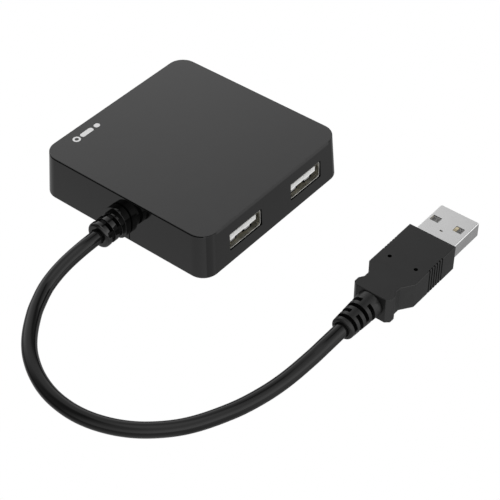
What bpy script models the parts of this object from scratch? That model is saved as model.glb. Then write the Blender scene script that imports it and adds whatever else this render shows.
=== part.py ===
"""A four-port USB hub in one shared frame, metres, +Z up.

The origin is the bottom centre of the housing. The ports open on +X and -X,
and the fixed cable leaves the -Y face through a strain relief and ends in a
USB-A plug that lies beside the housing, its tip towards +Y.
"""

import math

import bpy
import bmesh
from mathutils import Matrix, Vector
from mathutils.geometry import interpolate_bezier

MM = 0.001
GAP = 0.3 * MM

# Housing: four walls that lean in by the mould draft, closed by two plates.
HOUSING_HEIGHT = 14.05 * MM
TOP_WIDTH = 57.7 * MM
TOP_DEPTH = 57.5 * MM
DRAFT = 0.8 * MM
CORNER_RADIUS = 4.8 * MM
WALL = 1.7 * MM
BOTTOM_ROUND = 0.7 * MM
RIM_THICKNESS = 0.35 * MM
RIM_ROUND = 0.2 * MM
COVER_THICKNESS = 1.35 * MM
BASE_THICKNESS = 1.5 * MM
TAB_HEIGHT = 2.7 * MM

# Ports: USB-A receptacles, two on each side wall.
PORT_OFFSET = 12.9 * MM
PORT_SHIFT = 0.3 * MM
SHELL_WIDTH = 13.1 * MM
SHELL_HEIGHT = 5.55 * MM
SHELL_LENGTH = 14.0 * MM
SHELL_WALL = 0.25 * MM
SHELL_BOTTOM = 4.4 * MM
SHELL_FRONT = 29.1 * MM
WINDOW_GAP = 0.12 * MM
TONGUE_SETBACK = 0.45 * MM
TONGUE_WIDTH = 11.1 * MM
TONGUE_THICKNESS = 2.0 * MM
TONGUE_BOTTOM = 2.25 * MM
INSULATOR_BLOCK = 5.0 * MM
CONTACT_WIDTH = 1.0 * MM
CONTACT_THICKNESS = 0.25 * MM
CONTACT_OFFSETS = (-3.5 * MM, -1.0 * MM, 1.0 * MM, 3.5 * MM)

# Circuit board and what is soldered to it.
BOARD_BOTTOM = 2.4 * MM
BOARD_THICKNESS = 1.6 * MM
BOARD_WIDTH = 52.6 * MM
BOARD_FRONT = -22.5 * MM
BOARD_BACK = 25.8 * MM
SOLDER_GAP = 0.12 * MM

# Cable, strain reliefs and plug.
CABLE_DIAMETER = 4.05 * MM
CABLE_EXIT_HEIGHT = 6.1 * MM
HUB_BOOT_RADIUS = 3.75 * MM
HUB_BOOT_START = -30.4 * MM
HUB_BOOT_END = -38.2 * MM
HUB_BOOT_GAPS = ((-33.75 * MM, -32.6 * MM), (-36.45 * MM, -35.25 * MM))
HUB_BOOT_SLOTS = ((30, 76), (104, 150), (183, 256), (284, 357))
BOOT_BORE = 2.3 * MM
BOOT_BORE_DEPTH = 1.2 * MM
BOOT_CORE = 2.6 * MM
FLANGE_HALF_WIDTH = 3.93 * MM
FLANGE_TOP = 10.98 * MM
FLANGE_BOTTOM = 1.3 * MM
FLANGE_FRONT = -31.4 * MM
NECK_HALF_WIDTH = 2.85 * MM
SLOT_HALF_WIDTH = 3.15 * MM
PLUG_CENTRE = (69.05 * MM, 0.0, 4.0 * MM)
OVERMOULD_HALF_WIDTH = 7.2 * MM
OVERMOULD_HEIGHT = 8.0 * MM
OVERMOULD_FRONT = 15.8 * MM
COLLAR_BACK = -11.9 * MM
PLUG_BOOT_END = -23.9 * MM
PLUG_BOOT_ROOT = 3.8 * MM
PLUG_BOOT_TIP = 3.2 * MM
PLUG_BOOT_AXIS = (-0.05 * MM, 0.17 * MM)
PLUG_BOOT_TURN = -13.5
BRIDGE_HALF_ANGLE = 16.5
PLUG_SHELL_WIDTH = 12.0 * MM
PLUG_SHELL_HEIGHT = 4.5 * MM
PLUG_SHELL_WALL = 0.3 * MM
PLUG_TIP = 29.0 * MM
LATCH_HOLES = (-3.9 * MM, 3.3 * MM)

# The cord's centre line in mm, hand-placed, from inside the hub's strain relief to the plug's.
ROUTE = (
    (0.0, -37.3, 6.1),
    (-0.1, -43.5, 5.8),
    (-0.4, -49.0, 4.8),
    (-0.3, -53.5, 3.8),
    (0.4, -58.0, 2.8),
    (2.1, -62.3, 2.3),
    (4.4, -66.6, 2.06),
    (9.4, -73.2, 2.06),
    (14.6, -77.9, 2.06),
    (21.6, -81.8, 2.06),
    (29.0, -83.8, 2.06),
    (37.2, -83.8, 2.06),
    (45.3, -81.4, 2.06),
    (52.2, -77.1, 2.06),
    (58.6, -70.2, 2.06),
    (63.6, -60.4, 2.06),
    (66.1, -52.3, 2.06),
    (67.5, -44.4, 2.2),
    (68.45, -35.5, 3.05),
    (68.85, -30.0, 3.8),
    (69.0, -23.0, 4.17),
)


def clear_scene():
    for obj in list(bpy.data.objects):
        bpy.data.objects.remove(obj, do_unlink=True)


def new_collection(name):
    collection = bpy.data.collections.new(name)
    bpy.context.scene.collection.children.link(collection)
    return collection


def make_material(name, color, roughness, metallic=0.0):
    material = bpy.data.materials.new(name)
    material.use_nodes = True
    shader = material.node_tree.nodes["Principled BSDF"]
    shader.inputs["Base Color"].default_value = (*color, 1.0)
    shader.inputs["Roughness"].default_value = roughness
    shader.inputs["Metallic"].default_value = metallic
    material.diffuse_color = (*color, 1.0)
    return material


def make_empty(name, collection, location, turn=0.0):
    empty = bpy.data.objects.new(name, None)
    empty.location = location
    empty.rotation_euler = (0.0, 0.0, turn)
    collection.objects.link(empty)
    return empty


def link_mesh(name, mesh, collection, material=None, location=(0.0, 0.0, 0.0), parent=None):
    obj = bpy.data.objects.new(name, mesh)
    if material is not None and not mesh.materials:
        mesh.materials.append(material)
    obj.location = location
    obj.parent = parent
    collection.objects.link(obj)
    return obj


def finish_bmesh(name, work):
    bmesh.ops.recalc_face_normals(work, faces=work.faces)
    mesh = bpy.data.meshes.new(name)
    work.to_mesh(mesh)
    work.free()
    return mesh


def add_box(name, size, centre, collection, material=None, parent=None):
    work = bmesh.new()
    bmesh.ops.create_cube(work, size=1.0, matrix=Matrix.Diagonal((*size, 1.0)))
    return link_mesh(name, finish_bmesh(name, work), collection, material, centre, parent)


def add_cylinder(name, radius, height, centre, collection, material=None, segments=20, parent=None):
    work = bmesh.new()
    bmesh.ops.create_cone(
        work, cap_ends=True, segments=segments, radius1=radius, radius2=radius, depth=height
    )
    return link_mesh(name, finish_bmesh(name, work), collection, material, centre, parent)


def add_slab(name, width, depth, low, high, radius, collection, material=None, draft=0.0, bottom_round=0.0):
    """A block with round corners, its base wider by the draft on each side."""
    work = bmesh.new()
    bmesh.ops.create_cube(work, size=1.0)
    for vertex in work.verts:
        grow = draft if vertex.co.z < 0 else 0.0
        vertex.co.x = math.copysign(width / 2 + grow, vertex.co.x)
        vertex.co.y = math.copysign(depth / 2 + grow, vertex.co.y)
        vertex.co.z = low if vertex.co.z < 0 else high
    upright = [e for e in work.edges if abs(e.verts[0].co.z - e.verts[1].co.z) > 0.5 * (high - low)]
    bmesh.ops.bevel(work, geom=upright, offset=radius, segments=6, profile=0.5, affect="EDGES")
    if bottom_round:
        lowest = [e for e in work.edges if max(v.co.z for v in e.verts) < low + 1e-6]
        bmesh.ops.bevel(work, geom=lowest, offset=bottom_round, segments=3, profile=0.5, affect="EDGES")
    return link_mesh(name, finish_bmesh(name, work), collection, material)


def add_prism(name, outline, start, end, axis, collection, material=None, location=(0.0, 0.0, 0.0), parent=None):
    """Draws a flat outline as one face and extrudes it along Y or Z."""
    work = bmesh.new()
    if axis == "y":
        corners = [work.verts.new((a, start, b)) for a, b in outline]
        push = Vector((0.0, end - start, 0.0))
    else:
        corners = [work.verts.new((a, b, start)) for a, b in outline]
        push = Vector((0.0, 0.0, end - start))
    face = work.faces.new(corners)
    extruded = bmesh.ops.extrude_face_region(work, geom=[face])["geom"]
    moved = [item for item in extruded if isinstance(item, bmesh.types.BMVert)]
    bmesh.ops.translate(work, verts=moved, vec=push)
    return link_mesh(name, finish_bmesh(name, work), collection, material, location, parent)


def add_turned(name, profile, centre, collection, material=None, parent=None, segments=24):
    """Spins (radius, along) pairs about an axis that runs along -Y from the centre."""
    work = bmesh.new()
    points = [work.verts.new((radius, 0.0, along)) for radius, along in profile]
    for first, second in zip(points, points[1:]):
        work.edges.new((first, second))
    mesh = bpy.data.meshes.new(name)
    work.to_mesh(mesh)
    work.free()
    obj = link_mesh(name, mesh, collection, material, centre, parent)
    obj.rotation_euler = (math.pi / 2, 0.0, 0.0)
    screw = obj.modifiers.new("Screw", "SCREW")
    screw.axis = "Z"
    screw.steps = segments
    screw.render_steps = segments
    screw.use_merge_vertices = True
    screw.merge_threshold = 0.00001
    return obj


def boolean(target, tool, operation="DIFFERENCE"):
    modifier = target.modifiers.new(operation.title(), "BOOLEAN")
    modifier.operation = operation
    modifier.solver = "EXACT"
    modifier.object = tool


def shade_smooth(obj, angle=35.0):
    obj.data.shade_smooth()
    obj.data.set_sharp_from_angle(angle=math.radians(angle))


def wall_y(z):
    """Y of the -Y wall's outer face at a height."""
    return -(TOP_DEPTH / 2 + DRAFT * (1 - z / HOUSING_HEIGHT))


def arc(radius, centre_a, centre_b, first, last, steps=8):
    points = []
    for step in range(steps + 1):
        angle = math.radians(first + (last - first) * step / steps)
        points.append((centre_a + radius * math.cos(angle), centre_b + radius * math.sin(angle)))
    return points


def stadium(half_width, low, high):
    """Upright slot in (x, z), round at the top and the bottom."""
    top = arc(half_width, 0.0, high - half_width, 0, 180)
    bottom = arc(half_width, 0.0, low + half_width, 180, 360)
    return top + bottom


def arch(half_width, low, high):
    """Upright slot in (x, z), flat at the bottom."""
    return [(-half_width, low), (half_width, low)] + arc(half_width, 0.0, high - half_width, 0, 180)


def build_housing_frame(parts, cutters, material):
    top = HOUSING_HEIGHT - RIM_THICKNESS - GAP
    lean = DRAFT * (HOUSING_HEIGHT - top) / HOUSING_HEIGHT
    size = (TOP_WIDTH + 2 * lean, TOP_DEPTH + 2 * lean)
    draft = DRAFT - lean
    frame = add_slab(
        "housing_frame", *size, 0.0, top, CORNER_RADIUS, parts, material, draft, BOTTOM_ROUND
    )
    room = add_slab(
        "cut_room",
        size[0] - 2 * WALL,
        size[1] - 2 * WALL,
        -0.5 * MM,
        top + 0.5 * MM,
        CORNER_RADIUS - WALL,
        cutters,
        draft=draft,
    )
    boolean(frame, room)
    for side in (1, -1):
        for row in (1, -1):
            window = add_box(
                "cut_window",
                (8 * MM, SHELL_WIDTH + 2 * WINDOW_GAP, SHELL_HEIGHT + 2 * WINDOW_GAP),
                (side * 28.5 * MM, row * PORT_OFFSET + PORT_SHIFT, SHELL_BOTTOM + SHELL_HEIGHT / 2),
                cutters,
            )
            boolean(frame, window)
    outline = arch(SLOT_HALF_WIDTH, -1 * MM, 9.95 * MM)
    slot = add_prism("cut_cable_slot", outline, -31 * MM, -26 * MM, "y", cutters)
    boolean(frame, slot)
    shade_smooth(frame)


def build_top_cover(parts, cutters, material):
    low = HOUSING_HEIGHT - RIM_THICKNESS
    cover = add_slab("top_cover", TOP_WIDTH, TOP_DEPTH, low, HOUSING_HEIGHT, CORNER_RADIUS, parts, material)
    edge = cover.modifiers.new("Rim", "BEVEL")
    edge.width = RIM_ROUND
    edge.segments = 2
    edge.limit_method = "ANGLE"
    edge.angle_limit = math.radians(60)
    inset = WALL + 2 * GAP
    step = add_slab(
        "add_cover_step",
        TOP_WIDTH - 2 * inset,
        TOP_DEPTH - 2 * inset,
        HOUSING_HEIGHT - COVER_THICKNESS,
        HOUSING_HEIGHT - RIM_THICKNESS / 2,
        CORNER_RADIUS - inset,
        cutters,
    )
    boolean(cover, step, "UNION")
    shade_smooth(cover)


def build_bottom_cover(parts, cutters, material):
    inset = WALL + GAP
    size = (TOP_WIDTH + 2 * DRAFT - 2 * inset, TOP_DEPTH + 2 * DRAFT - 2 * inset)
    plate = add_slab("bottom_cover", *size, 0.0, BASE_THICKNESS, CORNER_RADIUS - WALL, parts, material)
    for vertex in plate.data.vertices:
        shrink = 1 - DRAFT * (vertex.co.z / HOUSING_HEIGHT) / (size[0] / 2)
        vertex.co.x *= shrink
        vertex.co.y *= shrink
    tab = add_box(
        "add_cable_tab",
        (2 * NECK_HALF_WIDTH, 5 * MM, TAB_HEIGHT),
        (0.0, wall_y(0.0) + 2 * MM, TAB_HEIGHT / 2),
        cutters,
    )
    outer = add_slab(
        "keep_outer_shape",
        TOP_WIDTH,
        TOP_DEPTH,
        0.0,
        HOUSING_HEIGHT,
        CORNER_RADIUS,
        cutters,
        draft=DRAFT,
        bottom_round=BOTTOM_ROUND,
    )
    boolean(tab, outer, "INTERSECT")
    boolean(plate, tab, "UNION")
    for x in (-22 * MM, 22 * MM):
        for y in (-18 * MM, 0.5 * MM, 22 * MM):
            height = BOARD_BOTTOM - GAP - BASE_THICKNESS / 2
            centre = (x, y, BASE_THICKNESS / 2 + height / 2)
            post = add_cylinder("add_board_post", 1.6 * MM, height, centre, cutters, segments=12)
            boolean(plate, post, "UNION")


def build_shell_mesh(cutters, material):
    """One receptacle shell, mouth at x = 0 and open at the back too."""
    shell = add_box(
        "receptacle_shell",
        (SHELL_LENGTH, SHELL_WIDTH, SHELL_HEIGHT),
        (-SHELL_LENGTH / 2, 0.0, SHELL_HEIGHT / 2),
        cutters,
        material,
    )
    bore = add_box(
        "cut_shell_bore",
        (SHELL_LENGTH + 2 * MM, SHELL_WIDTH - 2 * SHELL_WALL, SHELL_HEIGHT - 2 * SHELL_WALL),
        (-SHELL_LENGTH / 2, 0.0, SHELL_HEIGHT / 2),
        cutters,
    )
    boolean(shell, bore)
    for centre_y in (-3.0 * MM, 3.0 * MM):
        for offset in (-1.15 * MM, 1.15 * MM):
            slit = add_box(
                "cut_spring_slit",
                (5.0 * MM, 0.3 * MM, 1.5 * MM),
                (-5.5 * MM, centre_y + offset, 0.0),
                cutters,
            )
            boolean(shell, slit)
    return shell


def build_insulator_mesh(cutters, material):
    """The moulded block that closes the back of a shell, with its tongue."""
    room = SHELL_WALL + 0.15 * MM
    back = -SHELL_LENGTH + 0.1 * MM
    insulator = add_box(
        "receptacle_insulator",
        (INSULATOR_BLOCK, SHELL_WIDTH - 2 * room, SHELL_HEIGHT - 2 * room),
        (back + INSULATOR_BLOCK / 2, 0.0, SHELL_HEIGHT / 2),
        cutters,
        material,
    )
    start = back + INSULATOR_BLOCK / 2
    length = -TONGUE_SETBACK - start
    middle = start + length / 2
    tongue = add_box(
        "add_tongue",
        (length, TONGUE_WIDTH, TONGUE_THICKNESS),
        (middle, 0.0, TONGUE_BOTTOM + TONGUE_THICKNESS / 2),
        cutters,
    )
    boolean(insulator, tongue, "UNION")
    for centre_y, width in ((-4.38 * MM, 2.35 * MM), (2.1 * MM, 2.0 * MM)):
        rib = add_box(
            "add_tongue_rib",
            (0.7 * MM, width, 1.2 * MM),
            (-TONGUE_SETBACK - 0.35 * MM, centre_y, TONGUE_BOTTOM),
            cutters,
        )
        boolean(insulator, rib, "UNION")
    return insulator


def evaluated_mesh(obj):
    """The object's mesh with its modifiers applied; the object itself is removed."""
    bpy.context.view_layer.update()
    graph = bpy.context.evaluated_depsgraph_get()
    mesh = bpy.data.meshes.new_from_object(obj.evaluated_get(graph))
    mesh.transform(Matrix.Translation(obj.location))
    bpy.data.objects.remove(obj, do_unlink=True)
    return mesh


def build_receptacles(parts, cutters, materials):
    shell_mesh = evaluated_mesh(build_shell_mesh(cutters, materials["steel"]))
    insulator_mesh = evaluated_mesh(build_insulator_mesh(cutters, materials["insulator"]))
    start = -SHELL_LENGTH + 0.1 * MM + INSULATOR_BLOCK + 0.15 * MM
    end = -TONGUE_SETBACK - 0.9 * MM
    height = TONGUE_BOTTOM - SOLDER_GAP - CONTACT_THICKNESS / 2
    places = ((1, -1), (1, 1), (-1, 1), (-1, -1))
    for number, (side, row) in enumerate(places, start=1):
        turn = 0.0 if side > 0 else math.pi
        place = (side * SHELL_FRONT, row * PORT_OFFSET + PORT_SHIFT, SHELL_BOTTOM)
        port = make_empty(f"port_{number}", parts, place, turn)
        link_mesh(f"receptacle_shell_{number}", shell_mesh, parts, parent=port)
        link_mesh(f"receptacle_insulator_{number}", insulator_mesh, parts, parent=port)
        for index, offset in enumerate(CONTACT_OFFSETS, start=1):
            add_box(
                f"receptacle_{number}_contact_{index}",
                (end - start, CONTACT_WIDTH, CONTACT_THICKNESS),
                ((start + end) / 2, offset, height),
                parts,
                materials["gold"],
                port,
            )


def build_board(parts, cutters, materials):
    top = BOARD_BOTTOM + BOARD_THICKNESS
    depth = BOARD_BACK - BOARD_FRONT
    middle = (BOARD_BACK + BOARD_FRONT) / 2
    board = add_box(
        "circuit_board",
        (BOARD_WIDTH, depth, BOARD_THICKNESS),
        (0.0, middle, BOARD_BOTTOM + BOARD_THICKNESS / 2),
        parts,
        materials["board"],
    )
    for x in (-BOARD_WIDTH / 2, BOARD_WIDTH / 2):
        for y in (BOARD_FRONT, BOARD_BACK):
            notch = add_box("cut_board_corner", (6 * MM, 6 * MM, 8 * MM), (x, y, top), cutters)
            boolean(board, notch)
    seat = top + SOLDER_GAP
    add_box(
        "controller_chip", (9.8 * MM, 7.0 * MM, 1.75 * MM), (0.0, MM, seat + 0.875 * MM), parts, materials["chip"]
    )
    crystal = add_slab(
        "crystal", 10.6 * MM, 3.6 * MM, 0.0, 3.5 * MM, 1.75 * MM, parts, materials["steel"]
    )
    crystal.location = (0.0, -9.5 * MM, seat)
    shade_smooth(crystal)
    for number, (x, y) in enumerate(((-9, 10), (9, 10), (-9, -5), (9, -5)), start=1):
        add_box(
            f"capacitor_{number}",
            (2.0 * MM, 1.2 * MM, 1.1 * MM),
            (x * MM, y * MM, seat + 0.55 * MM),
            parts,
            materials["ceramic"],
        )
    tank = add_cylinder(
        "electrolytic_capacitor",
        2.5 * MM,
        5.6 * MM,
        (0.0, 14.5 * MM, seat + 2.8 * MM),
        parts,
        materials["aluminium"],
    )
    shade_smooth(tank)


def boot_profile(length, tip_radius, root_radius, rounding, gaps=(), step=0.0):
    """Outline of a tapered strain relief from its bore, over its rounded tip, to its root."""
    profile = [(0.0, length - BOOT_BORE_DEPTH), (BOOT_BORE, length - BOOT_BORE_DEPTH)]
    profile.append((BOOT_BORE, length))
    profile.extend(reversed(arc(rounding, tip_radius - rounding, length - rounding, 0, 90, 4)))
    for first, last in gaps:
        profile.append((tip_radius, last))
        profile.append((tip_radius - step, last))
        profile.append((tip_radius - step, first))
        profile.append((tip_radius, first))
    profile.append((root_radius, 0.0))
    profile.append((0.0, 0.0))
    return profile


def cut_slot(target, centre, y_low, y_high, first, last, cutters, parent=None):
    """Cuts one slot round the axis between two angles, down to the strain relief's core."""
    outline = [(centre[0], centre[2])] + arc(6 * MM, centre[0], centre[2], first, last, 10)
    cutter = add_prism("cut_boot_slot", outline, y_low, y_high, "y", cutters, parent=parent)
    profile = [(0.0, 4 * MM), (BOOT_CORE, 4 * MM), (BOOT_CORE, 0.0), (0.0, 0.0)]
    place = (centre[0], y_high + MM, centre[2])
    core = add_turned("cut_boot_core", profile, place, cutters, parent=parent, segments=32)
    boolean(cutter, core)
    boolean(target, cutter)


def build_flange(cutters):
    """The outer flange, its back face leaning with the wall's draft."""
    outline = stadium(FLANGE_HALF_WIDTH, FLANGE_BOTTOM, FLANGE_TOP)
    flange = add_prism("add_boot_flange", outline, -29.0 * MM, FLANGE_FRONT, "y", cutters)
    for vertex in flange.data.vertices:
        if vertex.co.y > -30 * MM:
            vertex.co.y = wall_y(vertex.co.z) - GAP
    return flange


def build_hub_boot(parts, cutters, material):
    centre = (0.0, HUB_BOOT_START, CABLE_EXIT_HEIGHT)
    length = HUB_BOOT_START - HUB_BOOT_END
    gaps = [(HUB_BOOT_START - high, HUB_BOOT_START - low) for low, high in reversed(HUB_BOOT_GAPS)]
    profile = boot_profile(length, HUB_BOOT_RADIUS, HUB_BOOT_RADIUS, 0.8 * MM, gaps, 0.3 * MM)
    boot = add_turned("hub_strain_relief", profile, centre, parts, material, segments=32)
    boolean(boot, build_flange(cutters), "UNION")
    neck_outline = arch(NECK_HALF_WIDTH, 3.0 * MM, 9.65 * MM)
    neck = add_prism("add_boot_neck", neck_outline, -30.6 * MM, -26.8 * MM, "y", cutters)
    boolean(boot, neck, "UNION")
    anchor_outline = arch(3.9 * MM, 3.0 * MM, 10.6 * MM)
    anchor = add_prism("add_boot_anchor", anchor_outline, -26.95 * MM, -25.0 * MM, "y", cutters)
    boolean(boot, anchor, "UNION")
    for low, high in HUB_BOOT_GAPS:
        for first, last in HUB_BOOT_SLOTS:
            cut_slot(boot, centre, low, high, first, last, cutters)


def smooth_route():
    """Points read off a smooth curve through the hand-placed route."""
    knots = [Vector(point) * MM for point in ROUTE]
    points = [knots[0]]
    for i in range(len(knots) - 1):
        before = knots[max(i - 1, 0)]
        after = knots[min(i + 2, len(knots) - 1)]
        a, b = knots[i], knots[i + 1]
        reach = (b - a).length / 3
        first = (b - before).normalized() * reach
        last = (after - a).normalized() * reach
        points.extend(interpolate_bezier(a, a + first, b - last, b, 3)[1:])
    return points


def add_tube(name, points, radius, collection, material, bevel_resolution=3):
    curve = bpy.data.curves.new(name, "CURVE")
    curve.dimensions = "3D"
    curve.bevel_depth = radius
    curve.bevel_resolution = bevel_resolution
    curve.use_fill_caps = True
    curve.render_resolution_u = 0
    spline = curve.splines.new("POLY")
    spline.points.add(len(points) - 1)
    for slot, point in zip(spline.points, points):
        slot.co = (*point, 1.0)
    curve.materials.append(material)
    obj = bpy.data.objects.new(name, curve)
    collection.objects.link(obj)
    return obj


def build_wires(parts, materials):
    names = ("wire_red", "wire_white", "wire_green", "wire_black")
    for name, x in zip(names, (-1.8 * MM, -0.6 * MM, 0.6 * MM, 1.8 * MM)):
        points = (
            Vector((x, -24.7 * MM, 6.1 * MM)),
            Vector((x * 1.3, -23.4 * MM, 6.1 * MM)),
            Vector((x * 1.7, -21.8 * MM, 5.7 * MM)),
            Vector((x * 2.0, -20.2 * MM, 4.95 * MM)),
            Vector((x * 2.0, -18.6 * MM, 4.65 * MM)),
        )
        add_tube(name, points, 0.42 * MM, parts, materials[name], 2)


def build_overmould(parts, cutters, material, plug):
    half = (
        (OVERMOULD_HALF_WIDTH, OVERMOULD_FRONT),
        (OVERMOULD_HALF_WIDTH, -2.6 * MM),
        (4.85 * MM, -6.0 * MM),
        (4.85 * MM, -7.9 * MM),
        (5.75 * MM, -9.3 * MM),
        (5.75 * MM, -10.9 * MM),
        (4.6 * MM, COLLAR_BACK),
    )
    outline = list(half) + [(-width, y) for width, y in reversed(half)]
    low = -OVERMOULD_HEIGHT / 2
    body = add_prism("plug_overmould", outline, low, -low, "z", parts, material, parent=plug)
    for side in (1, -1):
        for k in range(6):
            groove = add_box(
                "cut_grip",
                (1.2 * MM, 0.5 * MM, OVERMOULD_HEIGHT + 2 * MM),
                (side * (OVERMOULD_HALF_WIDTH + 0.2 * MM), (3.9 + 1.14 * k) * MM, 0.0),
                cutters,
                parent=plug,
            )
            boolean(body, groove)
        dimple = add_cylinder(
            "cut_dimple",
            0.5 * MM,
            1.6 * MM,
            (side * 4.05 * MM, 2.05 * MM, -low),
            cutters,
            segments=12,
            parent=plug,
        )
        boolean(body, dimple)


def build_plug_boot(parts, cutters, material, plug):
    """Four gaps, bridged in turn above and below the core and on its two sides."""
    start = COLLAR_BACK - GAP
    length = start - PLUG_BOOT_END
    profile = boot_profile(length, PLUG_BOOT_TIP, PLUG_BOOT_ROOT, 0.55 * MM)
    centre = (PLUG_BOOT_AXIS[0], start, PLUG_BOOT_AXIS[1])
    boot = add_turned("plug_strain_relief", profile, centre, parts, material, plug, 32)
    for index, middle in enumerate((-15.35 * MM, -17.65 * MM, -19.93 * MM, -22.15 * MM)):
        bridge = PLUG_BOOT_TURN + (90 if index % 2 == 0 else 0)
        for side in (bridge, bridge + 180):
            first = side + BRIDGE_HALF_ANGLE
            last = side + 180 - BRIDGE_HALF_ANGLE
            cut_slot(boot, centre, middle - 0.5 * MM, middle + 0.5 * MM, first, last, cutters, plug)


def build_plug_shell(parts, cutters, material, plug):
    back = OVERMOULD_FRONT + GAP
    length = PLUG_TIP - back
    middle = back + length / 2
    shell = add_box(
        "plug_shell",
        (PLUG_SHELL_WIDTH, length, PLUG_SHELL_HEIGHT),
        (0.0, middle, 0.0),
        parts,
        material,
        plug,
    )
    fold = shell.modifiers.new("Fold", "BEVEL")
    fold.width = 0.3 * MM
    fold.segments = 2
    bore = add_box(
        "cut_plug_bore",
        (
            PLUG_SHELL_WIDTH - 2 * PLUG_SHELL_WALL,
            length + 2 * MM,
            PLUG_SHELL_HEIGHT - 2 * PLUG_SHELL_WALL,
        ),
        (0.0, middle, 0.0),
        cutters,
        parent=plug,
    )
    boolean(shell, bore)
    for x in LATCH_HOLES:
        hole = add_box(
            "cut_latch_hole", (2.4 * MM, 2.0 * MM, 8 * MM), (x, 23.3 * MM, 0.0), cutters, parent=plug
        )
        boolean(shell, hole)


def build_plug(parts, cutters, materials):
    plug = make_empty("plug", parts, PLUG_CENTRE)
    build_overmould(parts, cutters, materials["boot_black"], plug)
    build_plug_boot(parts, cutters, materials["boot_black"], plug)
    build_plug_shell(parts, cutters, materials["steel"], plug)
    back = OVERMOULD_FRONT + GAP
    room = PLUG_SHELL_WALL + 0.15 * MM
    low = -PLUG_SHELL_HEIGHT / 2 + room
    high = -PLUG_SHELL_HEIGHT / 2 + 1.85 * MM
    length = PLUG_TIP - 0.6 * MM - back
    add_box(
        "plug_insulator",
        (PLUG_SHELL_WIDTH - 2 * room, length, high - low),
        (0.0, back + length / 2, (low + high) / 2),
        parts,
        materials["insulator_dark"],
        plug,
    )
    lengths = (9.0 * MM, 8.0 * MM, 8.0 * MM, 9.0 * MM)
    for index, (x, reach) in enumerate(zip(CONTACT_OFFSETS, lengths), start=1):
        add_box(
            f"plug_contact_{index}",
            (CONTACT_WIDTH, reach, 0.2 * MM),
            (x, PLUG_TIP - 1.8 * MM - reach / 2, high + SOLDER_GAP + 0.1 * MM),
            parts,
            materials["gold"],
            plug,
        )


def make_materials():
    return {
        "gloss_black": make_material("gloss_black_plastic", (0.012, 0.012, 0.013), 0.12),
        "boot_black": make_material("moulded_black_plastic", (0.012, 0.012, 0.013), 0.2),
        "cable_black": make_material("cable_black", (0.014, 0.014, 0.015), 0.25),
        "steel": make_material("plated_steel", (0.72, 0.72, 0.71), 0.3, 1.0),
        "insulator": make_material("white_insulator", (0.8, 0.8, 0.78), 0.5),
        "insulator_dark": make_material("grey_insulator", (0.2, 0.2, 0.2), 0.5),
        "gold": make_material("contact_gold", (0.85, 0.62, 0.28), 0.3, 1.0),
        "board": make_material("board_green", (0.03, 0.16, 0.07), 0.5),
        "chip": make_material("chip_black", (0.03, 0.03, 0.03), 0.6),
        "ceramic": make_material("ceramic_tan", (0.5, 0.38, 0.25), 0.5),
        "aluminium": make_material("can_aluminium", (0.75, 0.76, 0.77), 0.35, 1.0),
        "wire_red": make_material("wire_red", (0.6, 0.03, 0.03), 0.45),
        "wire_white": make_material("wire_white", (0.8, 0.8, 0.8), 0.45),
        "wire_green": make_material("wire_green", (0.03, 0.4, 0.08), 0.45),
        "wire_black": make_material("wire_black", (0.02, 0.02, 0.02), 0.45),
    }


def main():
    clear_scene()
    parts = new_collection("usb_hub")
    cutters = new_collection("construction")
    materials = make_materials()
    build_housing_frame(parts, cutters, materials["gloss_black"])
    build_top_cover(parts, cutters, materials["gloss_black"])
    build_bottom_cover(parts, cutters, materials["gloss_black"])
    build_receptacles(parts, cutters, materials)
    build_board(parts, cutters, materials)
    build_hub_boot(parts, cutters, materials["boot_black"])
    build_wires(parts, materials)
    add_tube("cable", smooth_route(), CABLE_DIAMETER / 2, parts, materials["cable_black"])
    build_plug(parts, cutters, materials)
    for helper in cutters.objects:
        helper.hide_render = True
        helper.display_type = "WIRE"


main()
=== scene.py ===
"""The looks of the USB hub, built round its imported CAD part. Metres, +Z up."""

import math

import bmesh
import bpy
from mathutils import Matrix, Vector
from mathutils.geometry import interpolate_bezier


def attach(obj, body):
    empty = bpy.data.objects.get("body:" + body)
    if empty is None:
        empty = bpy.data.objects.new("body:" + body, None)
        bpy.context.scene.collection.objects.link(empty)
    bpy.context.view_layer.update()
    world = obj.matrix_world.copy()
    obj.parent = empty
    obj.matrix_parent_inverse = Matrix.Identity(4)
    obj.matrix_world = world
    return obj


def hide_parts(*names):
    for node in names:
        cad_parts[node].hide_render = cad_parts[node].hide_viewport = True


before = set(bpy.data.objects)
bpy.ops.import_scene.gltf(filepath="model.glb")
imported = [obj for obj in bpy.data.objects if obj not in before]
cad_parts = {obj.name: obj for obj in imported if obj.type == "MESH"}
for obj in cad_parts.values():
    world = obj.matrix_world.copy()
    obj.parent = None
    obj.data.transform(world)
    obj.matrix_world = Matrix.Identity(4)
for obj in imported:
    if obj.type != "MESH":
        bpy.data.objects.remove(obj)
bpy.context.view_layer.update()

MM = 0.001

# Edges that bend by more degrees than this are shaded sharp
SHARP = 32.0
FRAME_SHARP = 26.0

# Housing
HEIGHT = 14.05 * MM
TOP_WIDTH = 57.7 * MM
TOP_DEPTH = 57.5 * MM
DRAFT = 0.8 * MM  # how much further out each wall is at its foot
CORNER = 4.8 * MM
WALL = 1.7 * MM
WALL_ROUND = 0.07 * MM
FOOT_ROUND = 0.7 * MM
RIM = 0.14 * MM  # the cover's visible edge
SEAM = 0.36 * MM  # the recess under it
COVER = 1.35 * MM
COVER_ROUND = 0.08 * MM
COVER_INSET = WALL + 0.6 * MM  # of the step under the cover
BASE = 1.5 * MM
BASE_GAP = 0.36 * MM
BASE_TAB = (5.7 * MM, 5.0 * MM, 2.7 * MM)
PLATE_ROUND = 0.2 * MM
LIP_WALL = 0.6 * MM  # of the lip that carries each port wall up into the seam
LIP_ROOT = 0.2 * MM
LIP_INSET = 0.08 * MM
LIP_GAP = 0.07 * MM
CHAMFER = 0.5 * MM
CHAMFER_OUT = 0.03 * MM
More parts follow.
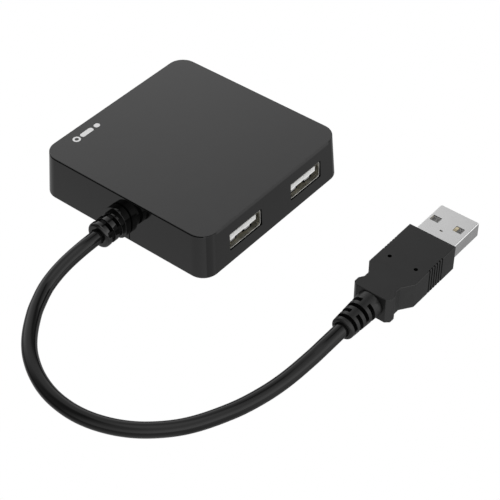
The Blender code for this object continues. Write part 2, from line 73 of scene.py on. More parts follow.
CHAMFER_IN = 0.137 * MM
CHAMFER_FOOT = 0.46 * MM  # where it meets the leaning wall, below the wall's top
CABLE_SLOT = (3.15 * MM, -MM, 9.95 * MM)  # half its width, its bottom and its top
CABLE_SLOT_ENDS = (-31.0 * MM, -26.0 * MM)

# Printed mark
MARK_X = -25.2 * MM
MARK_Y = -15.0 * MM
MARK_SINK = 0.01 * MM
MARK_PROUD = 0.015 * MM
MARK_BAR_W = 1.6 * MM
MARK_BAR_ROUND = 0.7 * MM
MARK_BARS = ((0.1 * MM, 4.6 * MM), (4.1 * MM, 1.8 * MM))  # place and length
RING_Y = -3.9 * MM
RING_OUTER = 1.15 * MM
RING_INNER = 0.6 * MM

# Ports; each is modelled facing +X, with its mouth at x = 0 and its underside at z = 0
PORT_Y = 12.9 * MM
PORT_SHIFT = 0.3 * MM
WINDOW = (8.0 * MM, 13.28 * MM, 5.34 * MM)
WINDOW_X = 28.5 * MM
WINDOW_Z = 7.03 * MM
WINDOW_SHIFT = 0.16 * MM  # how far each window is off its shell's middle
WINDOW_ROUND = 0.1 * MM
WINDOW_FACES = (26.9 * MM, 29.4 * MM)  # how far out its unlit faces are
WINDOW_REACH = 2.9 * MM  # and how far above and below its middle
SHELL_X = 29.08 * MM
SHELL_Z = 4.5 * MM
SHELL_W = 12.9 * MM
SHELL_H = 5.2 * MM
SHELL_L = 14.0 * MM
SHELL_T = 0.24 * MM
SHELL_BEND = 0.8 * MM
SHEET_ROUND = 0.07 * MM
FRONT_LEAN = 0.4 * DRAFT / HEIGHT  # the mouth leans less than the wall does
SLIT = (5.4 * MM, 2.6 * MM, 1.2 * MM)
SLIT_X = -6.0 * MM
TAB_Y = 3.0 * MM
TAB_X = -9.0 * MM
TAB_L = 5.4 * MM
TAB_W = 2.1 * MM
TAB_SEAT = 0.14 * MM
TAB_RISE = 0.5 * MM
BLOCK_GAP = 0.12 * MM
BLOCK_BACK = -SHELL_L + 0.1 * MM
BLOCK_L = 5.0 * MM
BLOCK_ROUND = 0.12 * MM
TONGUE_X = -0.45 * MM
TONGUE_W = 10.7 * MM
TONGUE_Y = -0.25 * MM
TONGUE_Z = 2.48 * MM
TONGUE_T = 1.67 * MM
TONGUE_ROUND = 0.16 * MM
TOOTH_L = 0.75 * MM
TOOTH_DROP = 0.6 * MM
TOOTH_BACK = 0.39 * MM  # from the tongue's end to the tooth's middle
TOOTH_ROUND = 0.05 * MM
TEETH = ((-4.6 * MM, 1.9 * MM), (1.37 * MM, 2.15 * MM))  # place and width
CONTACTS = (-3.5 * MM, -1.0 * MM, 1.0 * MM, 3.5 * MM)
SPRING_ROOT = (BLOCK_BACK + 5.2 * MM, TONGUE_Z - 0.36 * MM)
SPRING_X = -6.5 * MM
SPRING_L = 4.0 * MM
SPRING_W = 1.0 * MM
SPRING_T = 0.2 * MM
SPRING_DROP = 0.3 * MM
SPRING_BOW = 0.4 * MM
# Length, setback and rounding of the black boxes of painted shadow under the tongue
SHADE_BOX_L = 0.7 * MM
SHADE_BOX_BACK = 0.36 * MM
SHADE_BOX_ROUND = 0.03 * MM
# Black boxes of painted shadow in the openings beside and under the tongue's teeth: place, width, how
# far its middle is below the tongue, and height
SHADE_BOXES = (
    (-4.5 * MM, 2.1 * MM, 0.765 * MM, 0.33 * MM),
    (-3.3 * MM, 0.7 * MM, 0.46 * MM, 0.95 * MM),
    (1.37 * MM, 2.2 * MM, 0.765 * MM, 0.33 * MM),
    (-0.02 * MM, 0.65 * MM, 0.43 * MM, 0.86 * MM),
    (2.78 * MM, 0.65 * MM, 0.43 * MM, 0.86 * MM),
)
SHADE_LOW = 6.0 * MM
SHADE_SPAN = 3.0 * MM
# Painted shade on the white moulding: how light it is, by height as a part of that span; lightest along
# the tongue's lower edge, with painted shade above it and darker painted shade below it, where it is
# recessed
TONGUE_PAINTED_SHADE = ((0.30, 0.28), (0.33, 1.0), (0.41, 0.78), (0.55, 0.66), (0.88, 0.61))

# Strain reliefs
CABLE_D = 4.05 * MM
EXIT_Z = 6.1 * MM
BORE = 2.2 * MM
BORE_DEPTH = 1.2 * MM
CORE = 2.2 * MM
CUT_REACH = 6.0 * MM  # further out than any strain relief
CORE_CUT = 4.0 * MM
GAP_SHADE = 0.25 * MM  # a gap's faces are unlit from this far below the surface
STEP_ROUND = 0.06 * MM
HUB_BOOT_Y = -30.4 * MM
HUB_BOOT_R = 3.75 * MM
HUB_BOOT_L = 7.8 * MM
HUB_TIP_ROUND = 0.8 * MM
HUB_GAPS = ((-33.75 * MM, -32.6 * MM), (-36.45 * MM, -35.25 * MM))  # both ends of each
HUB_GAP_STEP = 0.3 * MM
HUB_SLOTS = ((30, 76), (104, 150), (183, 256), (284, 357))  # degrees round the axis
FLANGE = (3.93 * MM, 1.3 * MM, 10.98 * MM)  # half its width, its bottom and its top
FLANGE_FRONT = -31.4 * MM
FLANGE_BACK = -29.0 * MM
FLANGE_SEAT = 0.3 * MM
FLANGE_ROUND = 0.1 * MM
NECK = (2.85 * MM, 3.0 * MM, 9.65 * MM)  # the same three
NECK_ENDS = (-30.6 * MM, -26.0 * MM)
PLUG_BOOT = Vector((69.0, -12.2, 4.17)) * MM
PLUG_BOOT_L = 11.7 * MM
PLUG_BOOT_TIP = 3.2 * MM
PLUG_BOOT_ROOT = 3.8 * MM
PLUG_TIP_ROUND = 0.55 * MM
PLUG_GAPS = (-15.35 * MM, -17.65 * MM, -19.93 * MM, -22.15 * MM)  # the middle of each
PLUG_GAP_HALF = 0.6 * MM
PLUG_GAP_ENDS = (-23.2 * MM, -14.0 * MM)
PLUG_TURN = -13.5  # degrees, as is half a bridge's width
BRIDGE_HALF = 16.5

# Plug; values without MM are in millimetres from its own origin
PLUG = Vector((69.05, 0.0, 4.0)) * MM
# Half of the grip's outline, from the shell's end to the strain relief's end
GRIP_HALF = (
    (7.2, 15.8),
    (7.2, -2.6),
    (4.85, -6.0),
    (4.85, -7.9),
    (5.75, -9.3),
    (5.75, -10.9),
    (4.6, -11.9),
)
GRIP_HIGH = 4.0 * MM  # half its thickness
GRIP_CORNER = 0.14 * MM
GRIP_RIM = 0.26 * MM
GRIP_CUT = (1.2 * MM, 0.48 * MM, 10.0 * MM)
GRIP_CUT_ROUND = 0.06 * MM
GRIP_CUTS = 6
GRIP_CUT_AT = (7.4, 3.9)
GRIP_CUT_PITCH = 1.14
DIMPLE_AT = (4.05, 2.05)
DIMPLE_R = 0.56 * MM
DIMPLE_DEPTH = 0.9 * MM
PLUG_W = 12.0 * MM
PLUG_H = 4.5 * MM
PLUG_T = 0.3 * MM
PLUG_BEND = 0.28 * MM
PLUG_BACK = 16.1 * MM
PLUG_FRONT = 29.0 * MM
HOLE = (2.6 * MM, 2.2 * MM, 8.0 * MM)
HOLES_X = (-3.9, 3.3)
HOLES_Y = 23.3
HOLE_ROUND = 0.08 * MM
DENT = (1.0 * MM, 0.5 * MM, 1.2 * MM)
DENT_AT = (-0.17, 20.15, 2.2)
DENT_ROUND = 0.2 * MM
PLUG_BLOCK_W = 11.38 * MM
PLUG_BLOCK_L = 12.3 * MM
PLUG_BLOCK_Y = 22.25 * MM
PLUG_BLOCK_LOW = -1.85 * MM
PLUG_BLOCK_HIGH = -0.8 * MM
PLUG_BLOCK_ROUND = 0.04 * MM
BAR_W = 1.0 * MM
BAR_T = 0.2 * MM
BAR_ROUND = 0.07 * MM
BAR_PROUD = 0.04 * MM  # of its middle, above the block
BAR_TIP = 27.2
BAR_LENGTHS = (9.0, 8.0, 8.0, 9.0)

# The cable's route in millimetres, from inside one strain relief to inside the other
ROUTE = (
    (0.0, -37.3, 6.1),
    (-0.1, -43.5, 5.8),
    (-0.4, -49.0, 4.8),
    (-0.3, -53.5, 3.8),
    (0.4, -58.0, 2.8),
    (2.1, -62.3, 2.3),
    (4.4, -66.6, 2.06),
    (9.4, -73.2, 2.06),
    (14.6, -77.9, 2.06),
    (21.6, -81.8, 2.06),
    (29.0, -83.8, 2.06),
    (37.2, -83.8, 2.06),
    (45.3, -81.4, 2.06),
    (52.2, -77.1, 2.06),
    (58.6, -70.2, 2.06),
    (63.6, -60.4, 2.06),
    (66.1, -52.3, 2.06),
    (67.5, -44.4, 2.2),
    (68.45, -35.5, 3.05),
    (68.85, -30.0, 3.8),
    (69.0, -23.0, 4.17),
)
ROUTE_STEPS = 9

# Camera; its azimuth is counted from -Y towards +X. Angles are in degrees, and the sensor
# and the lens in millimetres.
SENSOR = 36.0
LENS = 109.635
CAMERA_AZIMUTH = 38.9905
CAMERA_ELEVATION = 42.5338
CAMERA_DISTANCE = 0.39707
CAMERA_AIM = Vector((33.639, -16.221, 5.0)) * MM
CLIP_START = 0.01
FLOOR_SIZE = 3.0
FLOOR_Z = -0.2 * MM


# ---------------------------------------------------------------- materials


def blend(tree, factor, first, second, mode="MIX"):
    """Mixes two colours; with no factor, the second applies in full."""
    node = tree.nodes.new("ShaderNodeMix")
    node.data_type = "RGBA"
    node.blend_type = mode
    if factor is None:
        node.inputs["Factor"].default_value = 1.0
    else:
        tree.links.new(factor, node.inputs["Factor"])
    tree.links.new(first, node.inputs["A"])
    tree.links.new(second, node.inputs["B"])
    return node.outputs["Result"]


def ramp(tree, value, stops):
    """Grey levels by value, through (place, level) stops."""
    node = tree.nodes.new("ShaderNodeValToRGB")
    node.color_ramp.interpolation = "LINEAR"
    elements = node.color_ramp.elements
    while len(elements) > 1:
        elements.remove(elements[-1])
    for index, (place, level) in enumerate(stops):
        element = elements[0] if index == 0 else elements.new(place)
        element.position = place
        element.color = (level, level, level, 1.0)
    tree.links.new(value, node.inputs["Fac"])
    return node.outputs["Color"]


def math_node(tree, operation, first, second=None, extra=None):
    node = tree.nodes.new("ShaderNodeMath")
    node.operation = operation
    for index, value in enumerate((first, second, extra)):
        if value is None:
            continue
        if isinstance(value, (int, float)):
            node.inputs[index].default_value = value
        else:
            tree.links.new(value, node.inputs[index])
    return node.outputs[0]


class Nodes:
    """A material's node tree, with short calls for the nodes used here."""

    def __init__(self, name):
        self.material = bpy.data.materials.new(name)
        self.material.use_nodes = True
        self.tree = self.material.node_tree
        self.shader = self.tree.nodes["Principled BSDF"]
        self.place = self.tree.nodes.new("ShaderNodeTexCoord").outputs["Object"]

    def link(self, source, target):
        self.tree.links.new(source, target)

    def noise(self, scale, detail=2.0, roughness=0.5, stretch=None):
        place = self.place
        if stretch:
            mapping = self.tree.nodes.new("ShaderNodeMapping")
            mapping.inputs["Scale"].default_value = stretch
            self.link(place, mapping.inputs["Vector"])
            place = mapping.outputs["Vector"]
        node = self.tree.nodes.new("ShaderNodeTexNoise")
        node.inputs["Scale"].default_value = scale
        node.inputs["Detail"].default_value = detail
        node.inputs["Roughness"].default_value = roughness
        self.link(place, node.inputs["Vector"])
        return node.outputs["Fac"]

    def spread(self, value, low, high):
        """Maps noise from its usual 0.3 to 0.7 onto low to high."""
        node = self.tree.nodes.new("ShaderNodeMapRange")
        node.inputs["From Min"].default_value = 0.3
        node.inputs["From Max"].default_value = 0.7
        node.inputs["To Min"].default_value = low
        node.inputs["To Max"].default_value = high
        self.link(value, node.inputs["Value"])
        return node.outputs["Result"]

    def blend(self, value, first, second):
        node = self.tree.nodes.new("ShaderNodeMix")
        node.data_type = "RGBA"
        node.inputs["A"].default_value = (*first, 1.0)
        node.inputs["B"].default_value = (*second, 1.0)
        self.link(value, node.inputs["Factor"])
        return node.outputs["Result"]

    def bump(self, height, distance, under=None):
        node = self.tree.nodes.new("ShaderNodeBump")
        node.inputs["Distance"].default_value = distance
        node.inputs["Strength"].default_value = 1.0
        self.link(height, node.inputs["Height"])
        if under is not None:
            self.link(under, node.inputs["Normal"])
        return node.outputs["Normal"]


def plastic(name, color, roughness, specular=0.5, mottle=0.25, grain=0.0, grain_scale=5000.0):
    """Moulded plastic: faint mottling, uneven gloss and, for a satin one, a fine moulded grain."""
    nodes = Nodes(name)
    shader = nodes.shader
    darker = tuple(c * (1 - mottle) for c in color)
    lighter = tuple(min(c * (1 + mottle), 1.0) for c in color)
    cloud = nodes.spread(nodes.noise(140.0, 3.0), 0.0, 1.0)
    nodes.link(nodes.blend(cloud, darker, lighter), shader.inputs["Base Color"])
    gloss = nodes.spread(nodes.noise(420.0, 4.0), roughness * 0.85, roughness * 1.15)
    nodes.link(gloss, shader.inputs["Roughness"])
    shader.inputs["Specular IOR Level"].default_value = specular
    waves = nodes.bump(nodes.noise(260.0, 1.0), 0.004 * MM)
    if grain:
        waves = nodes.bump(nodes.noise(grain_scale, 2.0), grain * MM, under=waves)
    nodes.link(waves, shader.inputs["Normal"])
    return nodes.material


def metal(name, color, roughness, stretch, tint=0.08, scratch=0.0012, uneven=0.25):
    """Plated sheet metal with fine rolling lines along one axis."""
    nodes = Nodes(name)
    shader = nodes.shader
    shader.inputs["Metallic"].default_value = 1.0
    darker = tuple(c * (1 - tint) for c in color)
    cloud = nodes.spread(nodes.noise(300.0, 3.0), 0.0, 1.0)
    nodes.link(nodes.blend(cloud, darker, color), shader.inputs["Base Color"])
    lines = nodes.noise(2600.0, 3.0, 0.6, stretch)
    gloss = nodes.spread(lines, roughness * (1 - uneven), roughness * (1 + uneven))
    nodes.link(gloss, shader.inputs["Roughness"])
    nodes.link(nodes.bump(lines, scratch * MM), shader.inputs["Normal"])
    return nodes.material


def white_moulding(name):
    """White plastic with painted shade by height: brightest along the tongue's lower edge and darker
    above and below it.
    """
    material = plastic(name, (0.86, 0.86, 0.85), 0.42, 0.5, 0.02, 0.004)
    tree = material.node_tree
    color = tree.nodes["Principled BSDF"].inputs["Base Color"]
    split = tree.nodes.new("ShaderNodeSeparateXYZ")
    tree.links.new(tree.nodes.new("ShaderNodeTexCoord").outputs["Object"], split.inputs[0])
    z = split.outputs["Z"]
    height = math_node(tree, "MULTIPLY_ADD", z, 1 / SHADE_SPAN, -SHADE_LOW / SHADE_SPAN)
    # painted shade: the white is multiplied by a grey level that depends only on height
    shade = ramp(tree, height, TONGUE_PAINTED_SHADE)
    tree.links.new(blend(tree, None, color.links[0].from_socket, shade, "MULTIPLY"), color)
    return material


def fibreglass(name):
    """Green solder resist over faint copper tracks."""
    nodes = Nodes(name)
    shader = nodes.shader
    tracks = nodes.noise(900.0, 0.0, 0.5, (1.0, 0.12, 1.0))
    edge = math_node(nodes.tree, "GREATER_THAN", tracks, 0.56)
    mixed = nodes.blend(edge, (0.010, 0.075, 0.028), (0.022, 0.135, 0.048))
    nodes.link(mixed, shader.inputs["Base Color"])
    nodes.link(nodes.spread(nodes.noise(1500.0), 0.25, 0.4), shader.inputs["Roughness"])
    nodes.link(nodes.bump(edge, 0.02 * MM), shader.inputs["Normal"])
    return nodes.material


def make_materials():
    along_x, along_y, along_z = (0.1, 1.0, 1.0), (1.0, 0.08, 1.0), (1.0, 1.0, 0.1)
    nickel, inner, plug_nickel = (0.74, 0.73, 0.70), (0.54, 0.53, 0.47), (0.67, 0.67, 0.67)
    return {
        "cover": plastic("cover gloss black", (0.0045, 0.0045, 0.0046), 0.16, 0.5, 0.1),
        "walls": plastic("wall gloss black", (0.0018, 0.0018, 0.0018), 0.06, 0.5, 0.12),
        "hub boot": plastic("hub boot black", (0.0014, 0.0014, 0.0014), 0.055, 0.42, 0.15),
        "boot": plastic("plug boot black", (0.010, 0.010, 0.010), 0.34, 0.24, 0.15, 0.001),
        "grip": plastic("grip satin black", (0.0082, 0.0082, 0.0082), 0.38, 0.28, 0.12, 0.001),
        # A lighter copy of the grip's satin black: painted light on the waist's sloping faces
        "waist_painted_light": plastic("grip painted light", (0.017, 0.017, 0.017), 0.36, 0.30, 0.12, 0.001),
        "sheath": plastic("cable sheath", (0.004, 0.004, 0.004), 0.11, 0.25, 0.15, 0.001, 3000.0),
        "shell": metal("port shell nickel", nickel, 0.22, along_x),
        # A darker, olive copy of the shell's nickel: painted shade and a painted brownish reflection on
        # the shell's inside
        "inner": metal("port shell inside painted shade", inner, 0.34, along_x, 0.05, 0.0004, 0.1),
        "plug": metal("plug shell nickel", plug_nickel, 0.33, along_y, 0.03, 0.0001, 0.08),
        "tongue": white_moulding("white insulator"),
        "dark": plastic("dark insulator", (0.5, 0.5, 0.5), 0.45, 0.4, 0.04, 0.002),
        "gold": metal("gold plating", (0.98, 0.86, 0.60), 0.3, (1.0, 0.15, 1.0)),
        "print": plastic("printed ink", (0.62, 0.62, 0.62), 0.5, 0.4, 0.06, 0.003),
        "board": fibreglass("solder resist"),
        "chip": plastic("epoxy package", (0.022, 0.022, 0.023), 0.55, 0.4, 0.2, 0.01),
        "ceramic": plastic("fired ceramic", (0.42, 0.30, 0.19), 0.5, 0.4, 0.12, 0.006),
        "can": metal("drawn can", (0.78, 0.79, 0.8), 0.3, along_z),
        "red": plastic("red insulation", (0.5, 0.02, 0.02), 0.4),
        "white": plastic("white insulation", (0.7, 0.7, 0.7), 0.4, 0.5, 0.05),
        "green": plastic("green insulation", (0.02, 0.28, 0.05), 0.4),
        "gap": plastic("unlit gap", (0.003, 0.003, 0.003), 0.5, 0.08, 0.1),
        # Near-black with almost no gloss: painted shade for the window edges, the grip's dimples and the
        # boxes under the tongue
        "painted_shade": plastic("painted shade black", (0.001, 0.001, 0.001), 0.6, 0.01, 0.1),
        "black": plastic("black insulation", (0.006, 0.006, 0.006), 0.5, 0.2),
    }


# ---------------------------------------------------------------- shapes


def make_object(name, work, material=None, matrix=None):
    """Turns a bmesh into an object, with its normals facing outwards."""
    bmesh.ops.recalc_face_normals(work, faces=work.faces)
    if matrix is not None:
        work.transform(matrix)
    mesh = bpy.data.meshes.new(name)
    work.to_mesh(mesh)
    work.free()
    obj = bpy.data.objects.new(name, mesh)
    bpy.context.scene.collection.objects.link(obj)
    if material is not None:
        mesh.materials.append(material)
    return obj


def apply_modifiers(obj):
    bpy.context.view_layer.update()
    graph = bpy.context.evaluated_depsgraph_get()
    mesh = bpy.data.meshes.new_from_object(obj.evaluated_get(graph))
    obj.modifiers.clear()
    obj.data = mesh


def boolean(target, tool, operation="DIFFERENCE"):
    """Applies the Boolean at once and removes the tool."""
    modifier = target.modifiers.new("Boolean", "BOOLEAN")
    modifier.operation = operation
    modifier.solver = "EXACT"
    modifier.object = tool
    apply_modifiers(target)
    bpy.data.objects.remove(tool, do_unlink=True)


def smooth(obj, angle=SHARP):
    """Shades it smooth between its sharp edges, with flat faces kept flat."""
    obj.data.shade_smooth()
    obj.data.set_sharp_from_angle(angle=math.radians(angle))
    weights = obj.modifiers.new("Flat faces", "WEIGHTED_NORMAL")
    weights.keep_sharp = True
    weights.weight = 100


def box(name, size, centre, rounding=0.0, material=None, segments=2):
    """A block about its centre, with all its edges rounded."""
    work = bmesh.new()
    bmesh.ops.create_cube(work, size=1.0, matrix=Matrix.Diagonal((*size, 1.0)))
    if rounding:
        bmesh.ops.bevel(
            work, geom=work.edges[:], offset=rounding, segments=segments, profile=0.5, affect="EDGES"
        )
    return make_object(name, work, material, Matrix.Translation(centre))


def slab(name, width, depth, low, high, radius, material=None, draft=0.0, bottom=0.0, top=0.0):
    """A block with round corners; its base is wider by the draft on each side."""
    work = bmesh.new()
    bmesh.ops.create_cube(work, size=1.0)
    for vertex in work.verts:
        grow = draft if vertex.co.z < 0 else 0.0
        vertex.co.x = math.copysign(width / 2 + grow, vertex.co.x)
        vertex.co.y = math.copysign(depth / 2 + grow, vertex.co.y)
        vertex.co.z = low if vertex.co.z < 0 else high
    upright = [e for e in work.edges if abs(e.verts[0].co.z - e.verts[1].co.z) > 0.5 * (high - low)]
    bmesh.ops.bevel(work, geom=upright, offset=radius, segments=18, profile=0.5, affect="EDGES")
    if bottom:
        edges = [e for e in work.edges if max(v.co.z for v in e.verts) < low + 1e-6]
        bmesh.ops.bevel(work, geom=edges, offset=bottom, segments=5, profile=0.5, affect="EDGES")
    if top:
        edges = [e for e in work.edges if min(v.co.z for v in e.verts) > high - 1e-6]
        bmesh.ops.bevel(work, geom=edges, offset=top, segments=4, profile=0.5, affect="EDGES")
    return make_object(name, work, material)


def prism(name, outline, start, end, axis, material=None, corner=0.0, rim=0.0, matrix=None):
    """An outline extruded along Y or Z, its upright edges and its two rims rounded."""
    work = bmesh.new()
    if axis == "y":
        corners = [work.verts.new((a, start, b)) for a, b in outline]
        push = Vector((0.0, end - start, 0.0))
    else:
        corners = [work.verts.new((a, b, start)) for a, b in outline]
        push = Vector((0.0, 0.0, end - start))
    face = work.faces.new(corners)
    moved = bmesh.ops.extrude_face_region(work, geom=[face])["geom"]
    bmesh.ops.translate(work, verts=[v for v in moved if isinstance(v, bmesh.types.BMVert)], vec=push)
    bmesh.ops.recalc_face_normals(work, faces=work.faces)
    index = 1 if axis == "y" else 2

    def runs_along(edge):
        return abs(edge.verts[0].co[index] - edge.verts[1].co[index]) > 0.5 * abs(end - start)

    if corner:
        edges = [e for e in work.edges if runs_along(e)]
        bmesh.ops.bevel(work, geom=edges, offset=corner, segments=3, profile=0.5, affect="EDGES")
    if rim:
        edges = [e for e in work.edges if not runs_along(e)]
        bmesh.ops.bevel(work, geom=edges, offset=rim, segments=3, profile=0.5, affect="EDGES")
    return make_object(name, work, material, matrix)


def turned(name, profile, centre, material=None, segments=72):
    """Spins (radius, along) pairs about an axis that runs along -Y from the centre."""
    work = bmesh.new()
    points = [work.verts.new((radius, 0.0, along)) for radius, along in profile]
    edges = [work.edges.new(pair) for pair in zip(points, points[1:])]
    bmesh.ops.spin(
        work, geom=points + edges, cent=(0, 0, 0), axis=(0, 0, 1), angle=math.tau, steps=segments
    )
    bmesh.ops.remove_doubles(work, verts=work.verts, dist=1e-6)
    place = Matrix.Translation(centre) @ Matrix.Rotation(math.pi / 2, 4, "X")
    return make_object(name, work, material, place)


def ring_body(name, loops, material=None, matrix=None):
    """One closed body through loops of points, the last loop joined to the first."""
    work = bmesh.new()
    rings = [[work.verts.new(point) for point in loop] for loop in loops]
    count = len(rings[0])
    for first, second in zip(rings, rings[1:] + rings[:1]):
        for i in range(count):
            j = (i + 1) % count
            work.faces.new((first[i], first[j], second[j], second[i]))
    return make_object(name, work, material, matrix)


def arc(radius, a, b, first, last, steps):
    """Points round (a, b) from one angle to another, in degrees."""
    found = []
    for step in range(steps + 1):
        angle = math.radians(first + (last - first) * step / steps)
        found.append((a + radius * math.cos(angle), b + radius * math.sin(angle)))
    return found


def round_rect(width, height, radius):
    a, b = width / 2 - radius, height / 2 - radius
    return (
        arc(radius, a, b, 0, 90, 5)
        + arc(radius, -a, b, 90, 180, 5)
        + arc(radius, -a, -b, 180, 270, 5)
        + arc(radius, a, -b, 270, 360, 5)
    )


def stadium(half, low, high):
    """An upright outline with a round top and bottom."""
    return arc(half, 0.0, high - half, 0, 180, 20) + arc(half, 0.0, low + half, 180, 360, 20)


def arch(half, low, high):
    """An upright outline with a round top and a flat bottom."""
    return [(-half, low), (half, low)] + arc(half, 0.0, high - half, 0, 180, 20)


def strip(name, path, width, thickness, y, material=None):
    """A thin bent strip: its side view is the (x, z) path, thickened upwards."""
    outline = path + [(x, z + thickness) for x, z in reversed(path)]
    return prism(name, outline, y - width / 2, y + width / 2, "y", material)


def join(name, objects):
    """Puts several objects' meshes in one object, without merging them."""
    work = bmesh.new()
    for obj in objects:
        work.from_mesh(obj.data)
    joined = make_object(name, work)
    for material in objects[0].data.materials:
        joined.data.materials.append(material)
    for obj in objects:
        bpy.data.objects.remove(obj, do_unlink=True)
    return joined


def show(obj, nodes):
    """Makes a finished piece stand for its CAD nodes."""
    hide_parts(*nodes)
    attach(obj, "root")
    return obj


# ---------------------------------------------------------------- housing


def wall_y(z):
    """Where the face of the wall that the cable leaves is, at a height."""
    return -(TOP_DEPTH / 2 + DRAFT * (1 - z / HEIGHT))


def port_places():
    """Number and placing matrix of each port."""
    for number, side, row in ((1, 1, -1), (2, 1, 1), (3, -1, 1), (4, -1, -1)):
        place = Matrix.Translation((side * SHELL_X, row * PORT_Y + PORT_SHIFT, SHELL_Z))
        yield number, place @ Matrix.Rotation(0.0 if side > 0 else math.pi, 4, "Z")


def add_lip(body, side, width, depth, top):
    """Carries one port wall up to the cover and cuts the chamfer that runs along it."""
    high = top + SEAM
    lip = slab(
        "lip", width, depth - 2 * LIP_INSET, top - LIP_ROOT, high - LIP_GAP, CORNER - LIP_INSET
    )
    inner = slab(
        "inner", width - 2 * LIP_WALL, depth - 2 * LIP_WALL, top - MM, top + MM, CORNER - LIP_WALL
    )
    boolean(lip, inner)
    wedge = [(0, 0), (side * TOP_WIDTH, -TOP_WIDTH), (side * TOP_WIDTH, TOP_WIDTH)]
    boolean(lip, prism("wedge", wedge, 0, 2 * HEIGHT, "z"), "INTERSECT")
    boolean(body, lip, "UNION")
    edge = side * width / 2
    slope = [
        (edge + side * CHAMFER_OUT, top - CHAMFER),
        (edge + side * MM, top - CHAMFER),
        (edge + side * MM, high),
        (edge - side * CHAMFER_IN, high),
    ]
    straight = TOP_DEPTH / 2 - CORNER
    boolean(body, prism("chamfer", slope, -straight, straight, "y"))


def cut_windows(body):
    for side in (1, -1):
        for row in (1, -1):
            y = row * PORT_Y + PORT_SHIFT + side * WINDOW_SHIFT
            boolean(body, box("window", WINDOW, (side * WINDOW_X, y, WINDOW_Z), WINDOW_ROUND))


def darken_windows(body, material):
    """Gives the unlit edges of the port windows their own darker material."""
    body.data.materials.append(material)
    for face in body.data.polygons:
        x, _, z = face.center
        across = abs(face.normal.x) < 0.3 and WINDOW_FACES[0] < abs(x) < WINDOW_FACES[1]
        if across and abs(z - WINDOW_Z) < WINDOW_REACH:
            face.material_index = 1


def sharpen_foot(body, level):
    """Keeps the chamfer's lower edge crisp, though it bends by less than FRAME_SHARP."""
    points = body.data.vertices
    for edge in body.data.edges:
        ends = [points[k].co for k in edge.vertices]
        if all(abs(end.z - level) < 0.05 * MM for end in ends) and abs(ends[0].x) > 28 * MM:
            edge.use_edge_sharp = True


def build_frame(mats):
    top = HEIGHT - RIM - SEAM
    lean = DRAFT * (HEIGHT - top) / HEIGHT
    width, depth, draft = TOP_WIDTH + 2 * lean, TOP_DEPTH + 2 * lean, DRAFT - lean
    body = slab(
        "walls", width, depth, 0.0, top, CORNER, mats["walls"], draft, FOOT_ROUND, WALL_ROUND
    )
    inside = width - 2 * WALL, depth - 2 * WALL
    over = 0.5 * MM
    boolean(body, slab("room", *inside, -over, top + over, CORNER - WALL, draft=draft))
    for side in (1, -1):
        add_lip(body, side, width, depth, top)
    cut_windows(body)
    boolean(body, prism("slot", arch(*CABLE_SLOT), *CABLE_SLOT_ENDS, "y"))
    darken_windows(body, mats["painted_shade"])
    smooth(body, FRAME_SHARP)
    sharpen_foot(body, top - CHAMFER_FOOT)
    show(body, ["housing_frame"])


def build_cover(mats):
    low = HEIGHT - RIM
    cover = slab(
        "cover_plate", TOP_WIDTH, TOP_DEPTH, low, HEIGHT, CORNER, mats["cover"], top=COVER_ROUND
    )
    step = slab(
        "step",
        TOP_WIDTH - 2 * COVER_INSET,
        TOP_DEPTH - 2 * COVER_INSET,
        HEIGHT - COVER,
        HEIGHT - RIM / 2,
        CORNER - COVER_INSET,
        bottom=PLATE_ROUND,
    )
    boolean(cover, step, "UNION")
    smooth(cover)
    show(cover, ["top_cover"])


def build_base(mats):
    inset = WALL + BASE_GAP
    width = TOP_WIDTH + 2 * DRAFT - 2 * inset
    depth = TOP_DEPTH + 2 * DRAFT - 2 * inset
    plate = slab(
        "base_plate", width, depth, 0.0, BASE, CORNER - WALL, mats["walls"], bottom=PLATE_ROUND
    )
    for vertex in plate.data.vertices:
        shrink = 1 - DRAFT * (vertex.co.z / HEIGHT) / (width / 2)
        vertex.co.x *= shrink
        vertex.co.y *= shrink
    tab = box("tab", BASE_TAB, (0, wall_y(0) + 2 * MM, BASE_TAB[2] / 2))
    outer = slab(
        "outer", TOP_WIDTH, TOP_DEPTH, 0.0, HEIGHT, CORNER, draft=DRAFT, bottom=FOOT_ROUND
    )
    boolean(tab, outer, "INTERSECT")
    boolean(plate, tab, "UNION")
    smooth(plate)
    show(plate, ["bottom_cover"])


def build_mark(mats):
    """A small generic printed sign near the cover's -X, -Y corner: a ring and two bars."""
    low, high = HEIGHT - MARK_SINK, HEIGHT + MARK_PROUD
    bars = []
    for y, length in MARK_BARS:
        corners = round_rect(MARK_BAR_W, length, MARK_BAR_ROUND)
        outline = [(MARK_X + u, MARK_Y + y + v) for u, v in corners]
        bars.append(prism("bar", outline, low, high, "z", mats["print"]))
    ring = []
    for radius, z in (
        (RING_OUTER, low),
        (RING_OUTER, high),
        (RING_INNER, high),
        (RING_INNER, low),
    ):
        circle = arc(radius, MARK_X, MARK_Y + RING_Y, 0, 360, 40)[:-1]
        ring.append([(u, v, z) for u, v in circle])
    bars.append(ring_body("ring", ring, mats["print"]))
    mark = join("printed_mark", bars)
    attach(mark, "root")


# ---------------------------------------------------------------- ports


def sheet_loops(width, height, wall, radius, far, near):
    """Loops (along, a, b) of a folded sheet tube, from its far end over a rounded near edge and back."""
    small = SHEET_ROUND * 0.29  # halfway round the edge
    steps = (
        (far, 0.0),
        (near - SHEET_ROUND, 0.0),
        (near - small, small),
        (near, SHEET_ROUND),
        (near, wall - SHEET_ROUND),
        (near - small, wall - small),
        (near - SHEET_ROUND, wall),
        (far, wall),
    )
    loops = []
    for along, inset in steps:
        outline = round_rect(width - 2 * inset, height - 2 * inset, max(radius - inset, 0.1 * MM))
        loops.append([(along, a, b) for a, b in outline])
    return loops


